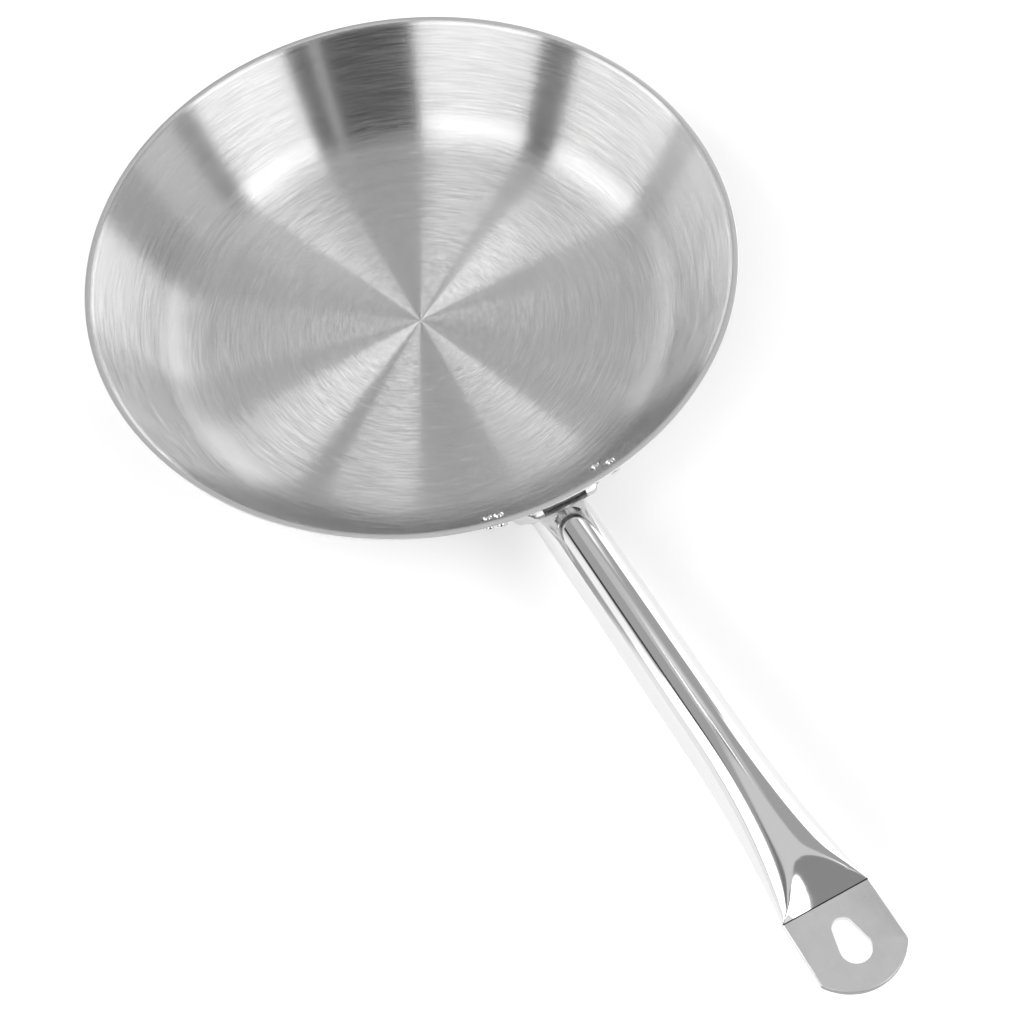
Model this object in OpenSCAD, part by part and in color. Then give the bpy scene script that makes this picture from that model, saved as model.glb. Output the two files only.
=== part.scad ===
// Frying pan: a drawn steel bowl on a sandwich base, with a hollow tube handle
// welded to a pressed bracket that four rivets hold under the lip.
// The origin is the centre of the base's underside, +X runs along the handle.

/* [Bowl] */
// Diameter over the lip
lip_d = 280; // [220:2:360]
// Depth from the lip down to the cooking floor
bowl_depth = 47.5; // [36:0.5:70]
// Thickness of the drawn sheet
sheet_t = 0.8; // [0.6:0.1:1.5]
// Slope of the side wall above the floor, in degrees
wall_slope = 60; // [50:1:72]
// Inside radius where the floor turns up into the wall
floor_corner_r = 24; // [12:1:30]
// Width of the pouring lip, past the line of the wall
lip_w = 3.2; // [2.6:0.2:6]
// Inside radius of the turn from the wall into the lip
lip_turn_r = 3; // [2:0.2:4]

/* [Base] */
// Thickness of the aluminium heat disc
disc_t = 5; // [3:0.5:8]
// Thickness of the steel cap over the disc
cap_t = 0.8; // [0.5:0.1:1.5]
// Outside radius of the cap's lower edge
cap_edge_r = 3; // [2:0.5:5]

/* [Bracket] */
// Thickness of the pressed plate
plate_t = 2; // [1.5:0.1:3]
// Height of the plate, measured along the wall
plate_h = 36; // [32:0.5:44]
// Width across both ears
plate_w = 68; // [62:1:90]
// Distance down the wall from the lip's level to the plate's top edge
plate_drop = 2.6; // [2.4:0.2:6]
// Radius of the ears' corners
ear_r = 6; // [3:0.5:9]
// Width of the raised seat that carries the handle
seat_w = 31; // [28:0.5:34]
// Width of the seat's legs where they meet the wall
seat_foot_w = 38; // [36:0.5:42]
// Height of the seat's face above the wall
seat_rise = 5.2; // [4:0.2:8]
// Outside radius of the bends along the seat
seat_bend_r = 3.6; // [2.6:0.2:4.5]

/* [Rivets] */
// Distance from the handle's middle plane to each column of rivets
rivet_y = 25.3; // [24:0.5:28]
// Distance between the two rows, along the wall
rivet_row_gap = 25; // [18:0.5:27]
// Diameter of the rivet shank
rivet_d = 3.2; // [2.4:0.2:4]
// Diameter of the rivet heads
rivet_head_d = 5.6; // [4.8:0.2:6.5]
// Height of the domed heads
rivet_head_h = 1.9; // [1:0.1:2.5]

/* [Handle] */
// Outside diameter of the tube
tube_d = 23.6; // [19:0.2:26]
// Wall thickness of the tube
tube_t = 1.2; // [0.8:0.1:2]
// Tilt of the handle above the horizontal, in degrees
tube_tilt = 6.5; // [0:0.5:14]
// Length from the bracket to the crease at the flat tab
tube_l = 195; // [150:1:240]
// Length over which the round tube flattens
flatten_l = 78; // [60:1:95]
// Length of the hollow scoop pressed in front of the crease
scoop_l = 19; // [12:0.5:26]
// Height of the tube's top where the scoop starts, above the tab's middle
scoop_rise = 9; // [7:0.5:11]
// Leg of the weld fillet between the tube and the bracket
weld_leg = 1.6; // [1:0.1:2.2]

/* [Hanging tab] */
// Width of the flat tab
tab_w = 34.6; // [30:0.2:38]
// Length of the tab's straight sides
tab_side_l = 24; // [20:0.5:30]
// Length from the crease to the tip
tab_l = 33.3; // [30:0.5:42]
// Downward bend of the tab against the tube, in degrees
tab_bend = 3; // [0:0.5:8]
// Distance from the crease to the small end of the hanging hole
hole_start = 7.2; // [6:0.2:9]
// Length of the hanging hole
hole_l = 17; // [15:0.5:20]
// Diameter of the hole's small end, towards the pan
hole_small_d = 7.8; // [6:0.2:9]
// Diameter of the hole's large end
hole_large_d = 11.2; // [9.5:0.2:13]

/* [Hidden] */
$fn = 96;
// Sides of the tube, a multiple of four
tube_sides = 48;
// Stations along the flattened stretch and along the scoop
flatten_steps = 8;
scoop_steps = 7;
// Steps of each rounded corner of an outline
arc_steps = 10;
// Overrun of every cut past the face that it opens
cut = 1;
// How fast the width grows along the flattened stretch, and how hollow the scoop is
widen_power = 2.4;
scoop_power = 1.25;
// Share of the scoop's length over which the underside closes
under_share = 0.45;
// Wall left solid in front of the crease, where the two faces are pressed together
closed_l = 4;
// Radius of the fold along the tab's edges, as a number of tube walls
fold_walls = 3.6;

wall_rad = floor_corner_r + sheet_t;
lip_z = bowl_depth + sheet_t + disc_t + cap_t;
floor_z = lip_z - bowl_depth;
// Radius at which the line of the wall's inside face meets the lip's level
wall_top_r = lip_d / 2 - lip_w;
floor_r = wall_top_r - bowl_depth / tan(wall_slope) - floor_corner_r * tan(wall_slope / 2);
// The same radius for the wall's outside face
wall_out_r = wall_top_r + sheet_t / sin(wall_slope);
lip_turn_out_r = max(lip_turn_r - sheet_t, sheet_t / 2);
seat_axis_s = plate_drop + plate_h / 2;
tube_r = tube_d / 2;
// Angle between the tube's axis and the seat's face
seat_angle = wall_slope - tube_tilt;
hole_small_u = tube_l + hole_start + hole_small_d / 2;
hole_large_u = tube_l + hole_start + hole_l - hole_large_d / 2;
// Radius of the arc at the tab's tip, through the ends of its straight sides
tip_sagitta = tab_l - tab_side_l;
tip_r = (pow(tab_w / 2, 2) + pow(tip_sagitta, 2)) / (2 * tip_sagitta);

// Points of an arc around a centre, from one angle to another
function arc(centre, radius, from, to, steps = arc_steps) =
  [for (i = [0 : steps]) let (a = from + (to - from) * i / steps)
    centre + radius * [cos(a), sin(a)]];

// The bowl's inside and outside faces as half outlines, from the axis to the lip's edge
function floor_arc(radius) =
  arc([floor_r, floor_z + floor_corner_r], radius, -90, wall_slope - 90);
function lip_arc(radius) =
  let (turn_r = wall_top_r + lip_turn_r * tan(wall_slope / 2))
    arc([turn_r, lip_z - lip_turn_r], radius, 90 + wall_slope, 90);

function inside_outline() = concat(
  [[0, floor_z]],
  floor_arc(floor_corner_r),
  lip_arc(lip_turn_r),
  [[lip_d / 2, lip_z]]);
function outside_outline() = concat(
  [[0, floor_z - sheet_t]],
  floor_arc(wall_rad),
  lip_arc(lip_turn_out_r),
  [[lip_d / 2, lip_z - sheet_t]]);

function reversed(list) = [for (i = [len(list) - 1 : -1 : 0]) list[i]];

// Radius of the wall's outside face, a distance s down the wall from the lip's level
function wall_r(s) = wall_out_r - s * cos(wall_slope);
// Distance down the wall to a row of rivets, the upper (-1) or the lower (1)
function rivet_s(row) = seat_axis_s + row * rivet_row_gap / 2;

// Places children in the wall's own axes on the handle's middle plane:
// X out of the wall, Y across it and Z up the slope, from the lip's level
module on_wall()
  translate([wall_out_r, 0, lip_z]) rotate([0, 90 - wall_slope, 0]) children();

// The same axes at a rivet, with the origin on the wall's outside face
module at_rivet(side, s)
  rotate([0, 0, side * asin(rivet_y / wall_r(s))])
    translate([wall_r(s), 0, lip_z - s * sin(wall_slope)])
      rotate([0, 90 - wall_slope, 0]) children();

// A solid cone that follows the wall, its surface lying "out" from the outside face
module wall_cone(out) {
  r_top = wall_out_r + out / sin(wall_slope);
  rise = lip_w;
  run = rise / tan(wall_slope);
  drop = bowl_depth;
  translate([0, 0, lip_z - drop])
    cylinder(h = drop + rise, r1 = r_top - drop / tan(wall_slope), r2 = r_top + run);
}

module rivet_holes()
  for (side = [-1, 1], row = [-1, 1])
    at_rivet(side, rivet_s(row)) translate([-sheet_t - plate_t, 0, 0]) rotate([0, 90, 0])
      cylinder(h = 3 * plate_t + sheet_t, d = rivet_d);

// Bowl: one sheet drawn to a flat floor, a sloping wall and a flared lip
module pan_body() color("gainsboro") difference() {
  rotate_extrude($fn = 180)
    polygon(concat(inside_outline(), reversed(outside_outline())));
  rivet_holes();
}

// Aluminium disc under the floor, which spreads the heat
module heat_disc() color("silver") {
  edge_r = max(cap_edge_r - cap_t, cap_t / 2);
  rotate_extrude($fn = 180)
    polygon(concat(
      [[0, cap_t]],
      arc([floor_r - edge_r, cap_t + edge_r], edge_r, -90, 0),
      [[floor_r, cap_t + disc_t], [0, cap_t + disc_t]]));
}

// Steel cap that closes the disc in and lets the pan work on any hob
module base_cap() color("darkgray") {
  edge_r = max(cap_edge_r - cap_t, cap_t / 2);
  centre = [floor_r - edge_r, cap_t + edge_r];
  rotate_extrude($fn = 180)
    polygon(concat(
      [[0, 0]],
      arc(centre, edge_r + cap_t, -90, 0),
      [[floor_r + cap_t, cap_t + disc_t], [floor_r, cap_t + disc_t]],
      arc(centre, edge_r, 0, -90),
      [[0, cap_t]]));
}

// Half outline of the raised seat across the plate, as [out, across] points.
// inset is the distance inwards from the plate's outside face.
function seat_half(inset) =
  let (
    lean = atan2((seat_foot_w - seat_w) / 2, seat_rise),
    turn = 90 - lean,
    bend = seat_bend_r - inset,
    corner_y = seat_w / 2 - seat_bend_r * tan(turn / 2),
    centre = [seat_rise - seat_bend_r, corner_y],
    foot = arc(centre, bend, turn, 0),
    deep = -plate_t - cut,
    last = foot[0])
  concat([[deep, last[1] + (last[0] - deep) * tan(lean)]], foot);

module seat_prism(inset, s_low, s_high) {
  half = seat_half(inset);
  other = [for (p = reversed(half)) [p[0], -p[1]]];
  translate([0, 0, -s_low]) linear_extrude(s_low - s_high) polygon(concat(half, other));
}

// Outline of the plate as seen square to the wall, with rounded ears
module plate_outline_prism(height) {
  low = -plate_drop - plate_h;
  high = -plate_drop;
  y = plate_w / 2;
  corners = concat(
    arc([y - ear_r, low + ear_r], ear_r, -90, 0),
    arc([y - ear_r, high - ear_r], ear_r, 0, 90),
    arc([ear_r - y, high - ear_r], ear_r, 90, 180),
    arc([ear_r - y, low + ear_r], ear_r, 180, 270));
  translate([-height / 2, 0, 0]) rotate([90, 0, 90]) linear_extrude(height) polygon(corners);
}

// Bracket: a pressed plate whose ears hug the wall and whose middle stands off it
module handle_bracket() color("lightgray") difference() {
  union() {
    intersection() {
      wall_cone(plate_t);
      on_wall() plate_outline_prism(plate_w);
    }
    on_wall() seat_prism(0, plate_drop + plate_h, plate_drop);
  }
  wall_cone(0);
  on_wall() seat_prism(plate_t, plate_drop + plate_h + cut, plate_drop - cut);
  rivet_holes();
}

// Places children on the tube's axis: X along it from the seat's face, Z up from it
module on_tube()
  on_wall() translate([seat_rise, 0, -seat_axis_s]) rotate([0, wall_slope - 90 - tube_tilt, 0])
    children();

// Share of the flattened stretch passed at station u, from 0 at its start to 1 at the crease
function flat_share(u) = min(max((u - tube_l + flatten_l) / flatten_l, 0), 1);
// Half width of the tube there, and the half height that keeps the sheet's length around it
function half_w(u) = tube_r + (tab_w / 2 - tube_r) * pow(flat_share(u), widen_power);
function half_h(u) =
  sqrt(max(2 * pow(tube_r, 2) - pow(half_w(u), 2), pow(fold_walls * tube_t, 2)));
// Heights at which the press tools hold the top and the underside down
function held_h(u, length) =
  u >= tube_l ? tube_t
    : tube_t + (scoop_rise - tube_t) * pow((tube_l - u) / length, scoop_power);

// One ring of the tube's outside (inset 0) or inside face at station u
function tube_ring(u, inset, slant = 0) =
  let (
    a = half_w(u) - inset,
    b = half_h(u) - inset,
    top = held_h(u, scoop_l) - inset,
    under = held_h(u, scoop_l * under_share) - inset,
    sink = max(u - tube_l, 0) * tan(tab_bend))
  [for (i = [0 : tube_sides - 1]) let (
      phi = 360 * i / tube_sides,
      w = max(min(b * sin(phi), top), -under))
    [u + slant * w, a * cos(phi), w - sink]];

// Faces that join rings of equal length into one closed skin
function skin_faces(rings, sides) = concat(
  [for (k = [0 : rings - 2], i = [0 : sides - 1])
    let (j = (i + 1) % sides)
      [k * sides + i, (k + 1) * sides + i, (k + 1) * sides + j, k * sides + j]],
  [[for (i = [0 : sides - 1]) i]],
  [[for (i = [sides - 1 : -1 : 0]) (rings - 1) * sides + i]]);

module skin(rings)
  polyhedron([for (ring = rings) each ring], skin_faces(len(rings), len(rings[0])));

// Stations from the start of the flattened stretch to a last station
function tube_stations(last) = [
  for (i = [0 : flatten_steps]) tube_l - flatten_l + (flatten_l - scoop_l) * i / flatten_steps,
  for (i = [1 : scoop_steps]) tube_l - scoop_l + (scoop_l - tube_l + last) * i / scoop_steps];

// Tube: round at the bracket, pressed flat at the far end, with a hanging hole
module handle_tube() color("whitesmoke") on_tube() difference() {
  slant = 1 / tan(seat_angle);
  intersection() {
    skin(concat(
      [tube_ring(0, 0, slant)],
      [for (u = tube_stations(tube_l)) tube_ring(u, 0)],
      [tube_ring(tube_l + tab_l + cut, 0)]));
    tab_outline_prism();
  }
  skin(concat(
    [tube_ring(-cut, tube_t, slant)],
    [for (u = tube_stations(tube_l - closed_l)) tube_ring(u, tube_t)]));
  hanging_hole();
}

// Everything up to the tab's rounded tip
module tab_outline_prism() {
  y = tab_w / 2 + cut;
  start = -tube_d * 2;
  reach = asin(tab_w / 2 / tip_r);
  translate([0, 0, -tube_d]) linear_extrude(2 * tube_d)
    polygon(concat(
      [[start, -y], [tube_l + tab_side_l, -y]],
      arc([tube_l + tab_l - tip_r, 0], tip_r, -reach, reach, 2 * arc_steps),
      [[tube_l + tab_side_l, y], [start, y]]));
}

// Egg-shaped hole: two round ends joined by straight sides that touch both
module hanging_hole() {
  small_r = hole_small_d / 2;
  large_r = hole_large_d / 2;
  side = acos((small_r - large_r) / (hole_large_u - hole_small_u));
  translate([0, 0, -tube_r]) linear_extrude(tube_d) polygon(concat(
    arc([hole_small_u, 0], small_r, side, 360 - side),
    arc([hole_large_u, 0], large_r, -side, side)));
}

// Weld: a fillet around the foot of the tube, three points to a ring
module weld_bead() color("gray") on_tube() {
  slant = 1 / tan(seat_angle);
  points = [for (i = [0 : tube_sides - 1]) let (
      phi = 360 * i / tube_sides,
      y = tube_r * cos(phi),
      w = tube_r * sin(phi),
      k = 1 + weld_leg / tube_r)
    each [[w * slant, y, w], [w * slant + weld_leg, y, w], [k * w * slant, k * y, k * w]]];
  n = tube_sides;
  faces = [for (i = [0 : n - 1], e = [0 : 2]) let (j = (i + 1) % n, f = (e + 1) % 3)
    [3 * i + e, 3 * j + e, 3 * j + f, 3 * i + f]];
  polyhedron(points, faces);
}

// Half outline of a domed head of height rivet_head_h on a flat at level z, up (1) or down (-1)
function dome(z, up) =
  let (
    ball_r = (pow(rivet_head_d / 2, 2) + pow(rivet_head_h, 2)) / (2 * rivet_head_h),
    spread = acos((ball_r - rivet_head_h) / ball_r),
    centre = [0, z + up * (rivet_head_h - ball_r)])
  arc(centre, ball_r, up * (90 - spread), up * 90);

// One rivet: a shank through the sheet and the plate, with a domed head on each face.
// The inside head stands off by the sheet's own hollow under a flat of its width.
module rivet(side, row) color("lightgray") {
  s = rivet_s(row);
  inner_z = -sheet_t - pow(rivet_head_d / 2, 2) / (2 * wall_r(s));
  at_rivet(side, s) rotate([0, 90, 0]) rotate_extrude($fn = 48)
    polygon(concat(
      reversed(dome(inner_z, -1)),
      [[rivet_d / 2, inner_z], [rivet_d / 2, plate_t]],
      dome(plate_t, 1)));
}

pan_body();
heat_disc();
base_cap();
handle_bracket();
handle_tube();
weld_bead();
rivet(-1, -1);  // upper_left_rivet
rivet(-1, 1);  // lower_left_rivet
rivet(1, -1);  // upper_right_rivet
rivet(1, 1);  // lower_right_rivet
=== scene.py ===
import math

import bmesh
import bpy
from mathutils import Matrix, Vector


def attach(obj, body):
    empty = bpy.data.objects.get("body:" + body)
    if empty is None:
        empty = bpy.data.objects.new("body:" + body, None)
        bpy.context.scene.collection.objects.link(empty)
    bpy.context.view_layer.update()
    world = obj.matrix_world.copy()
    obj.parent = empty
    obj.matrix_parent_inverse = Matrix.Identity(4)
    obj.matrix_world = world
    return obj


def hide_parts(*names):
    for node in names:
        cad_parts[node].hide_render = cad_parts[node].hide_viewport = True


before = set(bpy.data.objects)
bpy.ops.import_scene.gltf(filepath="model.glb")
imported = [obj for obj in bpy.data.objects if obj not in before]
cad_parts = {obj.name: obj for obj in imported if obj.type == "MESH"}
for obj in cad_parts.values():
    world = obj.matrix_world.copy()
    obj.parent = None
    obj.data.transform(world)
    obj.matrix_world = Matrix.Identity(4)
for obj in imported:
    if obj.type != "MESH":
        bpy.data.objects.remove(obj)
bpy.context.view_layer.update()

# Bowl
# One sheet of stainless steel, drawn to a flat floor and a sloping wall. It is rubbed
# with an abrasive pad while it turns, which leaves fine rings on it inside and out, and
# then its flared lip is polished. All sizes in this script are in millimetres.
LIP_R, LIP_Z, FLOOR_Z, SHEET = 140, 54.1, 6.6, 0.8
SLOPE = math.radians(60)
WALL_TOP_R, CORNER_R, TURN_R = 136.8, 24, 3
FLOOR_R = WALL_TOP_R - (LIP_Z - FLOOR_Z) / math.tan(SLOPE) - CORNER_R * math.tan(SLOPE / 2)
TURN_CENTRE = (WALL_TOP_R + TURN_R * math.tan(SLOPE / 2), LIP_Z - TURN_R)


def arc(centre, radius, start, end, steps):
    """Points of an arc around a centre, from one angle to another, in degrees."""
    turns = (math.radians(start + (end - start) * i / steps) for i in range(steps + 1))
    return [(centre[0] + radius * math.cos(t), centre[1] + radius * math.sin(t)) for t in turns]


def spun(outline, steps):
    """A closed skin turned about the Z axis from a half outline of (radius, z) points."""
    bm = bmesh.new()
    verts = [bm.verts.new((r, 0, z)) for r, z in outline]
    edges = [bm.edges.new(pair) for pair in zip(verts, verts[1:])]
    if outline[0][0] > 0 and outline[-1][0] > 0:
        edges.append(bm.edges.new((verts[-1], verts[0])))
    bmesh.ops.spin(bm, geom=verts + edges, axis=(0, 0, 1), angle=math.tau, steps=steps,
                   use_merge=True)
    bmesh.ops.remove_doubles(bm, verts=bm.verts, dist=1e-5)
    bmesh.ops.recalc_face_normals(bm, faces=bm.faces)
    return bm


def make_object(name, bm, materials, crease):
    """An object in metres from a bmesh in millimetres, smooth except at its creases."""
    bmesh.ops.scale(bm, vec=(0.001, 0.001, 0.001), verts=bm.verts)
    for face in bm.faces:
        face.smooth = True
    for edge in bm.edges:
        edge.smooth = edge.calc_face_angle(0) < math.radians(crease)
    mesh = bpy.data.meshes.new(name)
    bm.to_mesh(mesh)
    bm.free()
    for material in materials:
        mesh.materials.append(material)
    made = bpy.data.objects.new(name, mesh)
    bpy.context.scene.collection.objects.link(made)
    return made


def make_piece(name, bm, materials, crease=35):
    """An object that is a piece of the pan and stays with it."""
    piece = make_object(name, bm, materials, crease)
    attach(piece, "root")
    return piece


class Wire:
    """An output socket of a node tree. Arithmetic on it adds Math nodes."""

    def __init__(self, tree, socket=None):
        self.tree, self.socket = tree, socket

    def node(self, kind, settings=None, sockets=None, out=0):
        """Adds a node, with its settings first and then its sockets' values or links."""
        node = self.tree.nodes.new("ShaderNode" + kind)
        for name, value in (settings or {}).items():
            setattr(node, name, value)
        for name, value in (sockets or {}).items():
            if isinstance(value, Wire):
                self.tree.links.new(value.socket, node.inputs[name])
            else:
                node.inputs[name].default_value = value
        return Wire(self.tree, node.outputs[out])

    def node_like(self, kind, operation, *values):
        return self.node(kind, {"operation": operation}, dict(enumerate((self, *values))))

    def maths(self, operation, *values):
        return self.node_like("Math", operation, *values)

    def __add__(self, other):
        return self.maths("ADD", other)

    def __sub__(self, other):
        return self.maths("SUBTRACT", other)

    def __rsub__(self, other):
        return self.maths("MULTIPLY", -1).maths("ADD", other)

    def __mul__(self, other):
        return self.maths("MULTIPLY", other)

    def __pow__(self, other):
        return self.maths("POWER", other)

    __radd__, __rmul__ = __add__, __mul__

    def step(self, low, high):
        """A smooth step from 0 at low to 1 at high, or down where low is the greater."""
        return self.node("MapRange", {"interpolation_type": "SMOOTHSTEP"},
                         {"Value": self, "From Min": low, "From Max": high})

    def blend(self, low, high):
        """The colour that lies between two greys or colours by this share. Sockets 6 and 7
        and output 2 are those for colours."""
        return self.node("Mix", {"data_type": "RGBA"},
                         {"Factor": self, 6: colour(low), 7: colour(high)}, out=2)

    def bump(self, height, normal=None):
        """A normal from this height, whose full range is so many millimetres."""
        sockets = {"Height": self, "Strength": 1, "Distance": height / 1000}
        if normal:
            sockets["Normal"] = normal
        return self.node("Bump", None, sockets)


def colour(value):
    """A socket's colour from a grey or from red, green and blue, or a link as it is."""
    if isinstance(value, Wire):
        return value
    return (value, value, value, 1) if isinstance(value, (int, float)) else (*value, 1)


def place(tree):
    """Object coordinates, which are output 3, in millimetres as a vector and as X, Y, Z."""
    point = Wire(tree).node("TexCoord", out=3)
    point = Wire(tree).node("VectorMath", {"operation": "SCALE"}, {0: point, "Scale": 1000})
    parts = Wire(tree).node("SeparateXYZ", None, {0: point}).socket.node.outputs
    return point, *(Wire(tree, part) for part in parts)


def vector(x, y, z):
    return x.node("CombineXYZ", None, {0: x, 1: y, 2: z})


def noise(at, scale, detail=2, roughness=0.5):
    """Soft noise around 0.5 over a vector, with so many waves to each of its units."""
    return at.node("TexNoise", None, {"Vector": at, "Scale": scale, "Detail": detail,
                                      "Roughness": roughness})


def new_material(name, **sockets):
    """A material, of metal unless told otherwise, and its tree. Constants are set on the
    sockets of its shader."""
    material = bpy.data.materials.new(name)
    material.use_nodes = True
    shader = material.node_tree.nodes["Principled BSDF"]
    shader.inputs["Metallic"].default_value = 1
    for socket, value in sockets.items():
        shader.inputs[socket.replace("_", " ")].default_value = value
    return material, material.node_tree


def finish_with(material, **sockets):
    """Links what varies over a surface to the sockets of its shader."""
    shader = material.node_tree.nodes["Principled BSDF"]
    for socket, wire in sockets.items():
        material.node_tree.links.new(wire.socket, shader.inputs[socket.replace("_", " ")])
    return material


# Rubbed steel shines less at a glancing angle than a mirror does. The sides of its
# scratches lean in and out along the radius: each slope is given with the share of the
# surface that leans so, and the rest lies flat. Where a scratch is bright, less leans.
GLANCING = 0.55
SCRATCH_SIDES = ((0.22, 0.18), (0.48, 0.1), (0.8, 0.06))
SCRATCH_DEPTH = 0.004


def ring_brushed(name, tone, roughness, scratch):
    """Steel rubbed in rings about the Z axis. Light spreads along the radius from the
    leaning sides of the scratches, and hardly at all across it."""
    constants = {"Metallic": 1, "Anisotropic": 1, "Anisotropic Rotation": 0.25,
                 "Specular Tint": colour(GLANCING)}
    material, tree = new_material(name, **constants)
    point, x, y, z = place(tree)
    radius = (x * x + y * y) ** 0.5
    along = radius + z
    bearing = y.maths("ARCTAN2", x)
    east, north = bearing.maths("COSINE"), bearing.maths("SINE")
    fine = noise(vector(east * 7, north * 7, along * 1.5), 1, 2, 0.6)
    coarse = noise(vector(east * 2.5 + 9, north * 2.5, along * 0.55), 1, 2)
    cloud = noise(point, 0.02, 2)
    arcs = noise(vector(east * 8, north * 8 + 4, along * 1.3), 1, 1).step(0.66, 0.74)
    grey = (fine - 0.5) * 0.6 + (coarse - 0.5) * 0.16 + (cloud - 0.5) * 0.06
    grey = (grey + 0.5).blend(tone - 0.3, tone + 0.3)
    sheen = (coarse - 0.5) * 0.06 + (fine - 0.5) * 0.06 + roughness
    normal = (fine * 0.5 + arcs * scratch).bump(SCRATCH_DEPTH)
    leaning = fine * 3 - arcs * 1.3 - 0.55
    around = vector(y * -1, x, z * 0).node_like("VectorMath", "NORMALIZE")
    outwards = around.node_like("VectorMath", "CROSS_PRODUCT", normal)
    finish_with(material, Base_Color=grey, Roughness=sheen, Normal=normal)
    surface = Wire(tree, tree.nodes["Principled BSDF"].outputs[0])
    covered = 1 - 2 * sum(share for _, share in SCRATCH_SIDES)
    for lean, share in SCRATCH_SIDES:
        for side in (-lean, lean):
            tilted = outwards.node_like("VectorMath", "MULTIPLY_ADD", (side,) * 3, normal)
            facet = surface.node("BsdfPrincipled", None, {
                **constants, "Base Color": grey, "Roughness": sheen,
                "Normal": tilted.node_like("VectorMath", "NORMALIZE")})
            covered += share
            surface = surface.node("MixShader", None, {
                0: leaning * (share / covered), 1: surface, 2: facet})
    tree.links.new(surface.socket, tree.nodes["Material Output"].inputs["Surface"])
    return material


def polished(name, tone, roughness, grain, wave):
    """Buffed steel: a mirror with faint scratches all ways and a slightly wavy face."""
    material, tree = new_material(name)
    point = place(tree)[0]
    scratches = noise(point, 2.5, 3, 0.6)
    swell = noise(point, 0.09, 1)
    return finish_with(
        material,
        Base_Color=scratches.blend(tone - 0.04, tone + 0.04),
        Roughness=(scratches - 0.5) * grain + roughness,
        Normal=scratches.bump(0.0006, swell.bump(wave)))


bowl_satin = ring_brushed("bowl_satin", 0.74, 0.24, 0.5)
lip_satin = polished("lip_satin", 0.74, 0.36, 0.1, 0.01)

bowl = spun(
    [(0, FLOOR_Z), (2, FLOOR_Z), (30, FLOOR_Z), (60, FLOOR_Z), (85, FLOOR_Z)]
    + arc((FLOOR_R, FLOOR_Z + CORNER_R), CORNER_R, -90, -30, 24)
    + arc(TURN_CENTRE, TURN_R, 150, 90, 12)
    + arc((LIP_R - SHEET / 2, LIP_Z - SHEET / 2), SHEET / 2, 90, -90, 8)
    + arc(TURN_CENTRE, TURN_R - SHEET, 90, 150, 8)
    + arc((FLOOR_R, FLOOR_Z + CORNER_R), CORNER_R + SHEET, -30, -90, 24)
    + [(0, FLOOR_Z - SHEET)],
    240)
for face in bowl.faces:
    middle = face.calc_center_median()
    face.material_index = int(math.hypot(middle.x, middle.y) > TURN_CENTRE[0] - 1)
bowl = make_piece("bowl", bowl, [bowl_satin, lip_satin])
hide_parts("pan_body")

# Sandwich base
# An aluminium disc is brazed under the floor to spread the heat, and a thin steel cap is
# pressed over it, so that the pan works on any hob. The cap is faced on a lathe.
CAP_R, CAP_EDGE_R, DISC_T, CAP_T = FLOOR_R + 0.8, 3, 5, 0.8

disc_metal, tree = new_material("disc_aluminium")
mill = noise(place(tree)[0], 0.8, 3)
finish_with(disc_metal, Base_Color=mill.blend(0.6, 0.8), Roughness=mill * 0.3 + 0.35)
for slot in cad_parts["heat_disc"].material_slots:
    slot.material = disc_metal

cap = spun(
    [(0, 0), (2, 0), (45, 0)]
    + arc((CAP_R - CAP_EDGE_R, CAP_EDGE_R), CAP_EDGE_R, -90, 0, 12)
    + [(CAP_R, DISC_T + CAP_T - 0.2), (CAP_R - 0.2, DISC_T + CAP_T)]
    + [(CAP_R - CAP_T, DISC_T + CAP_T)]
    + arc((CAP_R - CAP_EDGE_R, CAP_EDGE_R), CAP_EDGE_R - CAP_T, 0, -90, 8)
    + [(0, CAP_T)],
    240)
cap = make_piece("turned_base_cap", cap, [ring_brushed("turned_cap", 0.68, 0.25, 0.3)])
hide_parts("base_cap")

# Handle bracket
# A cup pressed in 2 mm steel. Its ears hug the wall and take the rivets, and its middle
# stands off the wall as a flat seat for the handle. The seat's top and bottom turn in to
# the wall, and the top is notched over the handle. It is tumbled bright after pressing.
PLATE_T, PLATE_DROP, PLATE_H, PLATE_HALF_W, EAR_R = 2, 2.6, 36, 34, 6
SEAT_HALF_W, SEAT_FOOT_HALF_W, SEAT_RISE, SEAT_BEND_R, FOOT_BEND_R = 13.6, 16.6, 5.2, 2.4, 2.2
NOTCH_HALF_W, NOTCH_DEPTH, NOTCH_BEVEL, TURN_IN, TURN_IN_R = 9.4, 2.9, 2, 4.1, 2.05
WALL_OUT_R = WALL_TOP_R + SHEET / math.sin(SLOPE)
WALL_AXES = (Matrix.Translation((WALL_OUT_R, 0, LIP_Z))
             @ Matrix.Rotation(math.pi / 2 - SLOPE, 4, "Y"))


def over_wall(y, down, out):
    """Height above the bracket's flat wall plane of a cone that lies out from the wall,
    at y across and so far down the slope."""
    near = WALL_OUT_R - down * math.cos(SLOPE)
    cone = near + out / math.sin(SLOPE)
    lean = math.sin(math.pi / 2 - SLOPE) / math.tan(SLOPE)
    a = math.sin(SLOPE) ** 2 - lean ** 2
    b = 2 * (near * math.sin(SLOPE) + cone * lean)
    c = near ** 2 + y ** 2 - cone ** 2
    return (math.sqrt(b * b - 4 * a * c) - b) / (2 * a)


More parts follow.
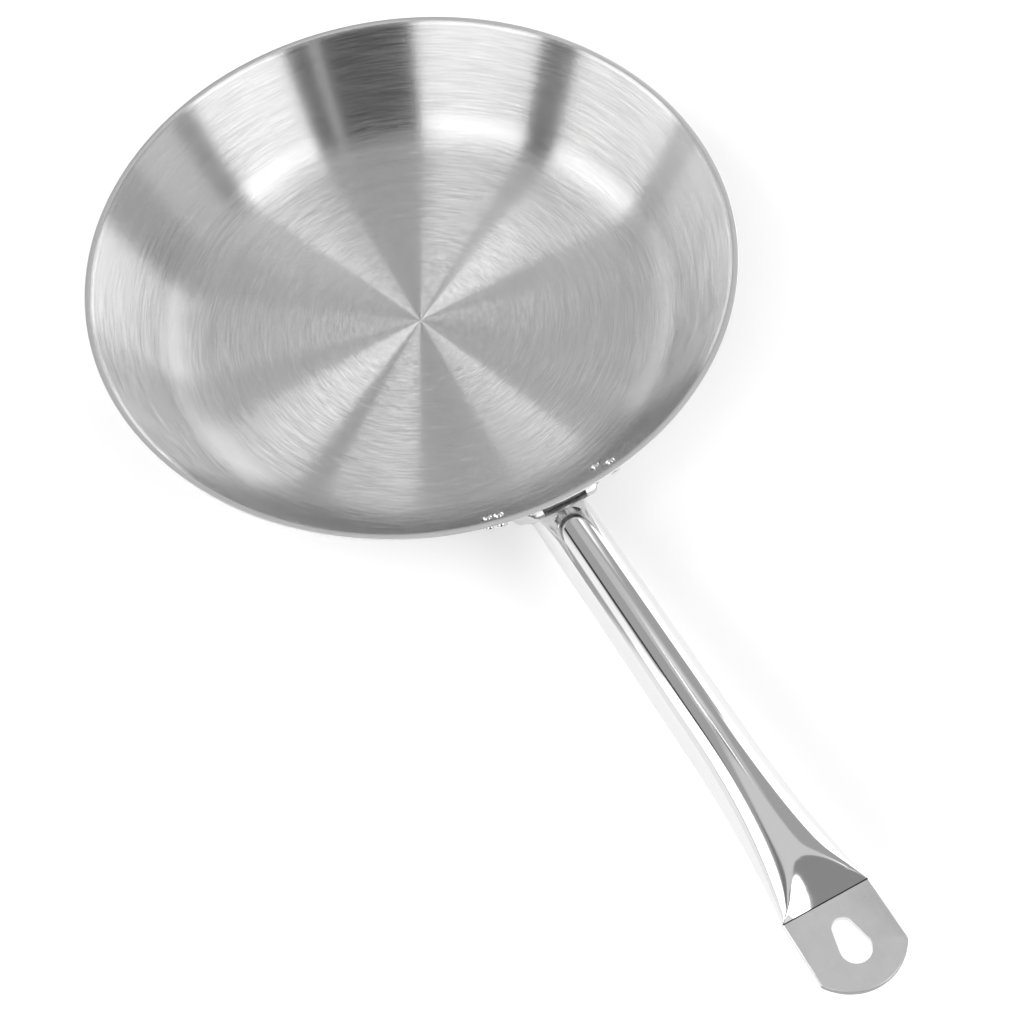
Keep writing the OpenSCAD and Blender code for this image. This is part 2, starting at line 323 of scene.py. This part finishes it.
def seat_outline(down):
    """Half of the plate's outer face across the wall, as (out, y) points from the middle."""
    lean = math.atan2(SEAT_FOOT_HALF_W - SEAT_HALF_W, SEAT_RISE)
    turn = 90 - math.degrees(lean)
    corner_y = SEAT_HALF_W - SEAT_BEND_R * math.tan(math.radians(turn / 2))
    bend = arc((SEAT_RISE - SEAT_BEND_R, corner_y), SEAT_BEND_R, 0, turn, 8)
    foot_y = SEAT_FOOT_HALF_W - over_wall(SEAT_FOOT_HALF_W, down, PLATE_T) * math.tan(lean)
    foot = Vector((over_wall(foot_y, down, PLATE_T), foot_y))
    leg = foot + FOOT_BEND_R * Vector((math.cos(lean), -math.sin(lean)))
    ear_y = foot_y + FOOT_BEND_R
    ear = Vector((over_wall(ear_y, down, PLATE_T), ear_y))
    curve = [(1 - t) ** 2 * leg + 2 * t * (1 - t) * foot + t * t * ear
             for t in (i / 6 for i in range(7))]
    flat_ys = (0, 2.4, 4.7, 7, NOTCH_HALF_W - 0.2, NOTCH_HALF_W + 0.2, 11)
    flat = [(SEAT_RISE, y) for y in flat_ys]
    ys = [ear_y + (PLATE_HALF_W - ear_y) * i / 12 for i in range(1, 13)]
    return flat + bend + [tuple(p) for p in curve] + [
        (over_wall(y, down, PLATE_T), y) for y in ys]


def turned_in(share, rise):
    """How far an edge of a part that stands this high is drawn in and down, as a pair, at
    a share of the way from its free end to the flat face."""
    length = min(1.3 * max(rise - PLATE_T - 0.1, 0), TURN_IN)
    radius = length * TURN_IN_R / TURN_IN
    way = share * (length - radius + radius * math.pi / 2) - (length - radius)
    turn = max(way, 0) / radius if radius else 0
    drawn_in = radius * (1 - math.sin(turn)) - min(way, 0)
    return drawn_in, radius * (1 - math.cos(turn)) + share * (1 - length / TURN_IN)


TURN_ROWS, FACE_ROWS = 8, 16
plate_rows = 2 * TURN_ROWS + FACE_ROWS
plate_columns = 2 * (len(seat_outline(0)) - 1)
plate = bmesh.new()
bmesh.ops.create_grid(plate, x_segments=plate_columns, y_segments=plate_rows, size=1)
for vert in plate.verts:
    column = round((vert.co.x + 1) / 2 * plate_columns) - plate_columns // 2
    row = round((vert.co.y + 1) / 2 * plate_rows)
    rise, y = seat_outline(PLATE_DROP)[abs(column)]
    corner_y = max(y - (PLATE_HALF_W - EAR_R), 0)
    corner = EAR_R - math.sqrt(EAR_R ** 2 - corner_y ** 2)
    notched = y < NOTCH_HALF_W
    top = PLATE_DROP + corner + NOTCH_DEPTH * notched
    bottom = PLATE_DROP + PLATE_H - corner
    from_top, from_bottom = (turned_in(min(steps / TURN_ROWS, 1), height) for steps, height in (
        (row, PLATE_T if notched else rise), (plate_rows - row, rise)))
    face = min(max((row - TURN_ROWS) / FACE_ROWS, 0), 1)
    down = (top + from_top[1]) * (1 - face) + (bottom - from_bottom[1]) * face
    out, y = seat_outline(down)[abs(column)]
    out -= from_top[0] if row < TURN_ROWS else from_bottom[0]
    vert.co = (out, math.copysign(y, column) if column else 0, -down)
bmesh.ops.recalc_face_normals(plate, faces=plate.faces)
if sum(face.normal.x for face in plate.faces) < 0:
    bmesh.ops.reverse_faces(plate, faces=plate.faces)
bmesh.ops.solidify(plate, geom=plate.faces[:], thickness=PLATE_T)
for vert in plate.verts:
    if (abs(vert.co.y) < NOTCH_HALF_W and -vert.co.z < PLATE_DROP + NOTCH_DEPTH + 1
            and vert.co.x < SEAT_RISE - PLATE_T / 2):
        vert.co.z -= NOTCH_BEVEL
bmesh.ops.transform(plate, matrix=WALL_AXES, verts=plate.verts)
bracket_polish = polished("bracket_polish", 0.66, 0.28, 0.12, 0.02)
bracket = make_piece("pressed_bracket", plate, [bracket_polish], crease=50)
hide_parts("handle_bracket")

# Rivets
# Four steel rivets go through the ears and the wall. Each has a domed head inside the
# bowl and one outside, pressed and polished.
RIVET_Y, RIVET_D, HEAD_D, HEAD_H, HEAD_EDGE_R, ROW_GAP = 25.3, 3.2, 5.6, 1.9, 1.4, 25
SEAT_DOWN = PLATE_DROP + PLATE_H / 2

rivet_polish = polished("rivet_polish", 0.74, 0.08, 0.06, 0.01)
for side, row, place_name in ((-1, -1, "upper_left"), (-1, 1, "lower_left"),
                              (1, -1, "upper_right"), (1, 1, "lower_right")):
    down = SEAT_DOWN + row * ROW_GAP / 2
    wall_r = WALL_OUT_R - down * math.cos(SLOPE)
    inner_z = -SHEET - (HEAD_D / 2) ** 2 / (2 * wall_r)
    edge_y = HEAD_D / 2 - HEAD_EDGE_R
    rivet = spun(
        [(0, inner_z - HEAD_H), (edge_y / 2, inner_z - HEAD_H + 0.03)]
        + arc((edge_y, inner_z - HEAD_H + HEAD_EDGE_R + 0.1), HEAD_EDGE_R, -82, 0, 8)
        + [(HEAD_D / 2, inner_z), (RIVET_D / 2, inner_z), (RIVET_D / 2, PLATE_T)]
        + [(HEAD_D / 2, PLATE_T)]
        + arc((edge_y, PLATE_T + HEAD_H - HEAD_EDGE_R - 0.1), HEAD_EDGE_R, 0, 82, 8)
        + [(edge_y / 2, PLATE_T + HEAD_H - 0.03), (0, PLATE_T + HEAD_H)],
        40)
    matrix = (Matrix.Rotation(side * math.asin(RIVET_Y / wall_r), 4, "Z")
              @ Matrix.Translation((wall_r, 0, LIP_Z - down * math.sin(SLOPE)))
              @ Matrix.Rotation(math.pi - SLOPE, 4, "Y"))
    bmesh.ops.transform(rivet, matrix=matrix, verts=rivet.verts)
    rivet = make_piece("rivet_" + place_name, rivet, [rivet_polish])
    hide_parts(place_name + "_rivet")

# Tube handle
# A thin steel tube, cut to the seat's angle and welded on. Its far end is pressed flat
# into a tab, with a hollow scoop in front of the crease, and then the round stretch is
# polished to a mirror. The tab keeps the satin face that the press left.
TUBE_R, TUBE_T, TUBE_L, FLATTEN_L = 11.8, 1.2, 195, 78
WIDEN_POWER, SINK_POWER, FOLD_R, FOOT_L, FOOT_POWER = 2.4, 2, 6.2, 110, 1.5
SCOOP_SLOPE, UNDER_SLOPE, TROUGH, TROUGH_Y, TROUGH_L = 0.43, 0.6, 0.02, -1, 5
EDGE_SOFTNESS, EDGE_SOFTNESS_L = 0.9, 6
TILT = math.radians(6.5)
TUBE_AXES = (WALL_AXES @ Matrix.Translation((SEAT_RISE, 0, -SEAT_DOWN))
             @ Matrix.Rotation(SLOPE - math.pi / 2 - TILT, 4, "Y"))
TAB_HALF_W, TAB_SIDE_L, TAB_L, TAB_BEND = 17.3, 24, 33.3, math.radians(3)


def half_sizes(u):
    """Half the tube's width and height at station u, before the tool presses it."""
    flat = min(max((u - TUBE_L + FLATTEN_L) / FLATTEN_L, 0), 1)
    return (TUBE_R + (TAB_HALF_W - TUBE_R) * flat ** WIDEN_POWER,
            TUBE_R + (FOLD_R - TUBE_R) * flat ** SINK_POWER)


def pressed_to(y, back, slope, trough):
    """Height at which a tool holds the tube, at y across and so far back from the crease.
    It rises from the crease, and also to the left of the trough's bottom."""
    side = min(y - TROUGH_Y, 0) ** 2
    return TUBE_T + slope * back + trough * (1 - math.exp(-back / TROUGH_L)) * side


def soft_least(first, second, softness):
    """The lesser of two heights, with the corner between them rounded."""
    return (first + second - math.sqrt((first - second) ** 2 + softness ** 2)) / 2


def tube_point(u, turn, slant):
    """A point of the tube's outside in its own axes, at a turn around station u."""
    back = max(TUBE_L - u, 0)
    a, b = half_sizes(u)
    softness = EDGE_SOFTNESS * min(back / EDGE_SOFTNESS_L, 1)
    y, w = a * math.cos(turn), b * math.sin(turn)
    w = soft_least(w, pressed_to(y, back, SCOOP_SLOPE, TROUGH), softness)
    w = -soft_least(-w, pressed_to(y, back, UNDER_SLOPE, 0), softness)
    return (u + slant * w, y, w)


stations = ([0, 0.5] + [10 * i for i in range(1, 12)]
            + [TUBE_L - FLATTEN_L + 2 * i for i in range(30)]
            + [TUBE_L - 19 + 0.5 * i for i in range(34)]
            + [TUBE_L - 2 + 0.25 * i for i in range(9)])
tube = bmesh.new()
rings = []
for u in stations:
    circle = bmesh.ops.create_circle(tube, segments=144, radius=1)["verts"]
    slant = 1 / math.tan(SLOPE - TILT) * max(0, 1 - u / FOOT_L) ** FOOT_POWER
    for vert in circle:
        vert.co = tube_point(u, math.atan2(vert.co.y, vert.co.x), slant)
    rings.append(list({edge for vert in circle for edge in vert.link_edges}))
for ring, following in zip(rings, rings[1:]):
    bmesh.ops.bridge_loops(tube, edges=ring + following)
bmesh.ops.recalc_face_normals(tube, faces=tube.faces)
bmesh.ops.transform(tube, matrix=TUBE_AXES, verts=tube.verts)

tube_mirror = polished("tube_mirror", 0.8, 0.08, 0.06, 0.02)
tube = make_piece("mirror_tube", tube, [tube_mirror], crease=40)
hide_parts("handle_tube")

# The tab's outline is cut square, its long edges are the folds of the tube, and the
# hanging hole is punched through both layers.
HOLE_SMALL, HOLE_LARGE = (206.1, 3.9), (213.6, 5.6)
FOLD_EDGE_R, CUT_EDGE, NEAR = 0.7, 0.18, 0.01


def burnished(name, tone, roughness, centre):
    """Pressed satin steel with smudges, fine lines along X and burnished rings about a
    centre, where the edge of a hole was cleaned."""
    material, tree = new_material(name)
    point, x, y, z = place(tree)
    grain = noise(vector(x * 0.12, y * 2.2, z * 2.2), 1, 3, 0.6)
    smudge = noise(point, 0.12, 3, 0.6)
    away = ((x - centre[0]) ** 2 + (y - centre[1]) ** 2) ** 0.5
    rings = noise(vector(away, z * 0, z * 0), 1.8, 2) * away.step(13, 6)
    grey = (grain - 0.5) * 0.3 + (smudge - 0.5) * 0.7 + 0.5
    return finish_with(
        material,
        Base_Color=grey.blend(tone - 0.1, tone + 0.1),
        Roughness=(smudge - 0.5) * 0.16 + (rings - 0.25) * 0.1 + roughness,
        Normal=(grain + rings).bump(0.0015, smudge.bump(0.03)))


hole_middle = TUBE_AXES @ Vector(((HOLE_SMALL[0] + HOLE_LARGE[0]) / 2, 0, 0))
tab_satin = burnished("tab_satin", 0.74, 0.33, hole_middle)
# The sheared edge at the tip is a duller grey, and its colour is also painted darker as shade,
# for the contact shadow that the edge reflects.
sheared_edge_painted_shade = burnished("sheared_edge_painted_shade", 0.32, 0.4, hole_middle)
tip_rise = TAB_L - TAB_SIDE_L
tip_r = (TAB_HALF_W ** 2 + tip_rise ** 2) / (2 * tip_rise)
reach = math.degrees(math.asin(TAB_HALF_W / tip_r))
lean = math.degrees(math.acos(
    (HOLE_SMALL[1] - HOLE_LARGE[1]) / (HOLE_LARGE[0] - HOLE_SMALL[0])))
outline = ([(TUBE_L, -TAB_HALF_W)]
           + arc((TUBE_L + TAB_L - tip_r, 0), tip_r, -reach, reach, 40)
           + [(TUBE_L, TAB_HALF_W)])
hole = (arc((HOLE_SMALL[0], 0), HOLE_SMALL[1], lean, 360 - lean, 24)
        + arc((HOLE_LARGE[0], 0), HOLE_LARGE[1], -lean, lean, 32))
tab = bmesh.new()
for loop in (outline, hole):
    verts = [tab.verts.new((u, y, -TUBE_T)) for u, y in loop]
    for pair in zip(verts, verts[1:] + verts[:1]):
        tab.edges.new(pair)
bmesh.ops.triangle_fill(tab, edges=tab.edges[:], use_beauty=True, use_dissolve=False)
up = bmesh.ops.extrude_face_region(tab, geom=tab.faces[:])["geom"]
bmesh.ops.translate(tab, vec=(0, 0, 2 * TUBE_T),
                    verts=[item for item in up if isinstance(item, bmesh.types.BMVert)])
bmesh.ops.recalc_face_normals(tab, faces=tab.faces)


def folded(co):
    return abs(co.y) > TAB_HALF_W - NEAR


def cut(co):
    at_tip = co.x > TUBE_L + TAB_SIDE_L - NEAR
    return co.x > TUBE_L + 0.1 and (at_tip or abs(co.y) < TAB_HALF_W - NEAR)


def rim(test):
    """The rim edges of the tab whose two ends are level and both pass a test."""
    return [edge for edge in tab.edges
            if edge.calc_face_angle(0) > 1 and all(test(vert.co) for vert in edge.verts)
            and abs(edge.verts[0].co.z - edge.verts[1].co.z) < 0.1]


folds, cuts = rim(folded), rim(cut)
bmesh.ops.bevel(tab, geom=folds, offset=FOLD_EDGE_R, offset_type="OFFSET", segments=4,
                profile=0.5, affect="EDGES", material=-1)
bmesh.ops.bevel(tab, geom=[edge for edge in cuts if edge.is_valid], offset=CUT_EDGE,
                offset_type="OFFSET", segments=2, profile=0.5, affect="EDGES", material=-1)
tab.normal_update()
# The upright faces of the cut edge around the tip take the dark material: a sheared edge's
# duller grey with painted shade on it.
for face in tab.faces:
    middle = face.calc_center_median()
    face.material_index = int(abs(face.normal.z) < 0.5 and middle.x > TUBE_L + TAB_SIDE_L)
for vert in tab.verts:
    vert.co.z -= (vert.co.x - TUBE_L) * math.tan(TAB_BEND)
bmesh.ops.transform(tab, matrix=TUBE_AXES, verts=tab.verts)
tab = make_piece("hanging_tab", tab, [tab_satin, sheared_edge_painted_shade], crease=20)
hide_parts("handle_tube")

# Weld
# A fillet weld joins the tube's foot to the seat all the way round, and it is thinnest at
# the top. It is dressed, so only faint ripples are left on it.
WELD_LEG, TOP_LOSS, RIPPLES, RIPPLE, WELD_T, WELD_STEPS = 1.6, 0.75, 40, 0.04, 0.3, 6
weld_metal = polished("weld_metal", 0.62, 0.3, 0.2, 0.05)
weld = bmesh.new()
loops = []
for step in range(WELD_STEPS + 1):
    turn = math.radians(90 * step / WELD_STEPS)
    out, up = 1 - math.sin(turn), 1 - math.cos(turn)
    circle = bmesh.ops.create_circle(weld, segments=144, radius=1)["verts"]
    for vert in circle:
        phi = math.atan2(vert.co.y, vert.co.x)
        ripple = 1 + RIPPLE * math.sin(RIPPLES * phi)
        leg = WELD_LEG * ripple * (1 - TOP_LOSS * max(math.sin(phi), 0) ** 0.5)
        reach_r = TUBE_R + leg * out
        w = reach_r * math.sin(phi)
        vert.co = (w / math.tan(SLOPE - TILT) + leg * up, reach_r * math.cos(phi), w)
    loops.append(list({edge for vert in circle for edge in vert.link_edges}))
for loop, following in zip(loops, loops[1:]):
    bmesh.ops.bridge_loops(weld, edges=loop + following)
bmesh.ops.recalc_face_normals(weld, faces=weld.faces)
bmesh.ops.solidify(weld, geom=weld.faces[:], thickness=WELD_T)
bmesh.ops.transform(weld, matrix=TUBE_AXES, verts=weld.verts)
weld = make_piece("weld_fillet", weld, [weld_metal])
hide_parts("weld_bead")

# Floor, light and camera
# The pan stands on a pale floor inside a studio tent. The tent has three bright panels on
# the camera's side with dark seams between them, dimmer ones all round, and a grey top.
# These make the streaks in the polished and brushed steel.
FLOOR_HALF_W, FLOOR_GLOW = 6000, 0.3
floor = bmesh.new()
bmesh.ops.create_grid(floor, x_segments=1, y_segments=1, size=FLOOR_HALF_W)
floor_paper, tree = new_material("floor_paper", Metallic=0, Roughness=0.9,
                                 Emission_Strength=FLOOR_GLOW)
cloud = noise(place(tree)[0], 0.01, 2)
finish_with(floor_paper, Base_Color=cloud.blend(0.86, 0.9), Emission_Color=cloud.blend(0.98, 1))
make_object("studio_floor", floor, [floor_paper], crease=35)

# Each lit or dark panel of the tent: the bearing that it is drawn by, its first and last
# bearing, its lowest and highest elevation, how far its edges climb for each degree of
# bearing and how soft its sides are, all in degrees, and its brightness. Later ones cover
# earlier ones. Around is the bearing about the zenith. Sweep is a bearing about the point
# of the sky opposite the camera, by which the light that a ring-brushed floor sends to the
# camera comes from straight wedges.
SWEEP_X, SWEEP_Y, TENT_LEVEL, PANEL_EDGE = -0.57, 0.19, 0.42, 2
PANELS = (
    ("around", -200, 200, 62, 100, 0, 3, 0.7),
    ("around", 135, 225, 45, 62, 0, 4, 0.6),
    ("around", -135, -92, 58, 80, 0, 3, 0.22),
    ("around", -92, -48, 60, 80, 0, 3, 1.5),
    ("around", -48, 20, 54, 79, 0, 3, 0.29),
    ("around", 20, 62, 61, 74, 0, 3, 0.29),
    ("sweep", 20, 26, -10, 30, 0, 1, 0.15),
    ("sweep", 26, 38, -10, 30, 0, 2, 1.0),
    ("sweep", 38, 52, -10, 30, 0, 2, 0.6),
    ("sweep", 52, 79, -10, 30, 0, 3, 2.4),
    ("sweep", 72, 100, 50, 62, 0, 3, 1.0),
    ("sweep", 96, 122, 26, 40, 0, 4, 2.0),
    ("sweep", 78, 122, -10, 20, 0, 4, 2.2),
    ("sweep", 118, 200, -10, 26, 0, 4, 0.1),
    ("sweep", -200, -150, -10, 26, 0, 4, 0.1),
    ("sweep", -150, -112, -10, 19, 0, 4, 2.6),
    ("sweep", -112, -94, 0, 22, 0, 2, 1.8),
    ("sweep", -93, -86, 19, 37, 0, 1, 1.1),
    ("sweep", -86.5, -60, -10, 18, 0, 0.9, 1.0),
    ("sweep", -52, -26.5, -10, 35, 0, 0.7, 0.9),
    ("sweep", -1, 20, -10, 26, 0, 0.7, 0.9),
    ("sweep", -60, -52, -10, 60, 0, 0.7, 0.0),
    ("sweep", -26.5, -1, -10, 62, 0, 0.7, 0.0),
    ("sweep", -8, -6, -10, 40, 0, 0.5, 0.9),
    ("sweep", -52, -26.5, 35, 57, 0, 0.7, 3.3),
    ("sweep", -1, 20, 26, 56, 0.3, 0.7, 3.0),
    ("sweep", -86.5, -60, 18, 43, 0.6, 0.9, 2.9),
    ("around", -150, -133, 30.5, 38, 0.8, 1, 0.0),
)
world = bpy.data.worlds.new("studio_tent")
bpy.context.scene.world = world
world.use_nodes = True
tree = world.node_tree
way = Wire(tree).node("TexCoord")
parts = way.node("SeparateXYZ", None, {0: way}).socket.node.outputs
x, y, z = (Wire(tree, part) for part in parts)
bearings = {
    "around": y.maths("ARCTAN2", x) * math.degrees(1),
    "sweep": (y - SWEEP_Y).maths("ARCTAN2", x - SWEEP_X) * math.degrees(1)}
height = z.maths("ARCSINE") * math.degrees(1)
light = height * 0 + TENT_LEVEL
for kind, left, right, low, high, lean, soft, level in PANELS:
    bearing = bearings[kind]
    climb = height - (bearing - left) * lean
    cover = (climb.step(low - PANEL_EDGE, low + PANEL_EDGE)
             * climb.step(high + PANEL_EDGE, high - PANEL_EDGE))
    if right - left < 360:
        cover = cover * (bearing.step(left - soft, left + soft)
                         * bearing.step(right + soft, right - soft))
    light = light + cover * (level - light)
# The camera sees plain white behind the pan.
seen = way.node("LightPath")
light = seen * (1 - light) + light
tree.links.new(light.socket, tree.nodes["Background"].inputs["Strength"])
tree.nodes["Background"].inputs["Color"].default_value = (1, 1, 1, 1)

camera = bpy.data.objects.new("camera", bpy.data.cameras.new("camera"))
camera.data.sensor_width = 36
camera.data.lens = 63.28
camera.data.clip_start, camera.data.clip_end = 0.01, 50
camera.matrix_world = Matrix.Translation((0.46405, -0.15472, 0.6606)) @ Matrix((
    (0.464604, -0.751462, 0.468453, 0), (0.883649, 0.427792, -0.190153, 0),
    (-0.057508, 0.502293, 0.862783, 0), (0, 0, 0, 1)))
bpy.context.scene.collection.objects.link(camera)
bpy.context.scene.camera = camera
bpy.context.scene.view_settings.view_transform = "Standard"
